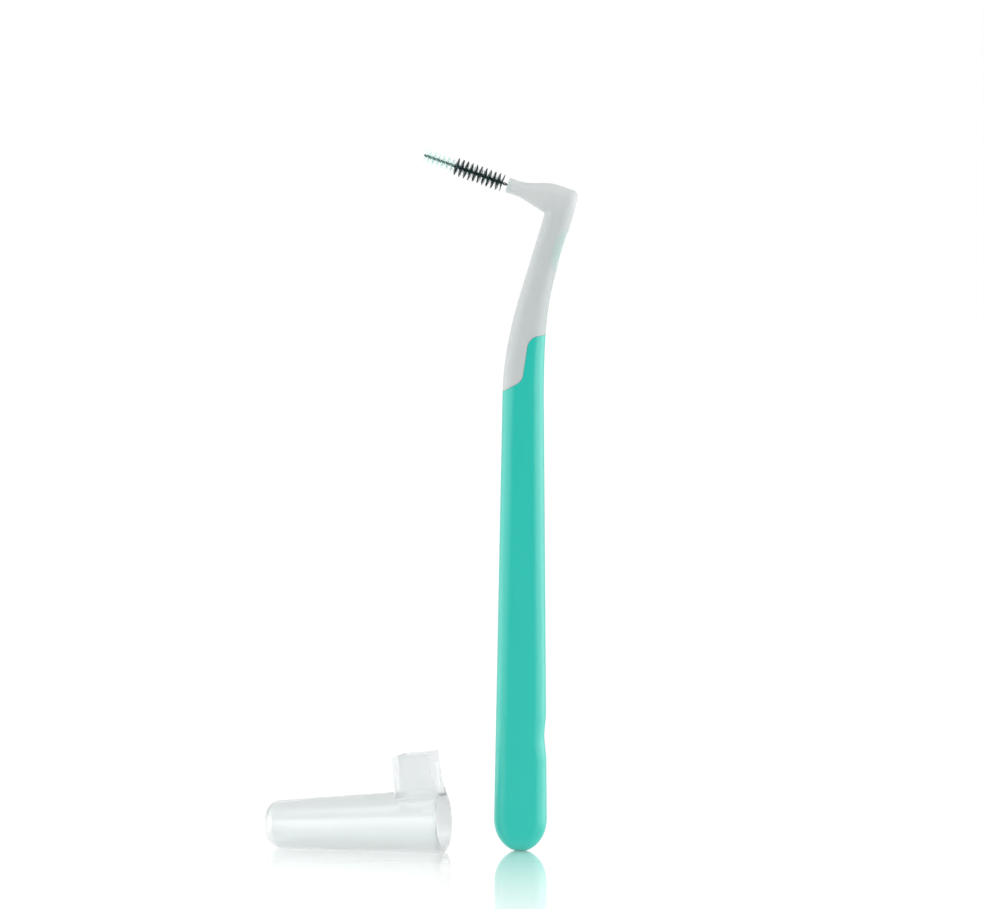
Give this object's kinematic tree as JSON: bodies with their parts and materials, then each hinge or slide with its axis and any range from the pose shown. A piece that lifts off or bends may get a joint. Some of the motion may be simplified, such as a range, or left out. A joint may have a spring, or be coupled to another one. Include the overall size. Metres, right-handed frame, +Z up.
{
  "type": "interdental brush",
  "caption": "Long-handled angled interdental brush: two-shot handle and neck, twisted wire with tapered bristles, and a clip-on travel cap lying beside it.",
  "frame": {"origin": "the lowest point of the handle's rounded tail, on the surface that the brush stands on in the picture", "axes": "+Z up the handle, the head points to -X, and +Y goes away from the side that the picture shows"},
  "size_m": [0.0609, 0.0193, 0.1364],
  "materials": {
    "grip_green": "satin moulded green plastic",
    "neck_white": "satin translucent white plastic",
    "wire_steel": "fine drawn steel wire with a thin coat",
    "nylon_black": "black nylon filament",
    "nylon_clear": "clear nylon filament",
    "cap_clear": "clear moulded plastic, slightly hazy"
  },
  "bodies": {
    "brush": {"handle_grip": "grip_green", "neck": "neck_white", "wire": "wire_steel", "black_bristles": "nylon_black", "clear_bristles": "nylon_clear"},
    "cap": {"cap": "cap_clear"}
  },
  "joints": [
    {"name": "cap_lift", "type": "slide", "parent": "brush", "child": "cap", "axis": [0, 0, 1], "range_m": [0, 0.09]}
  ]
}
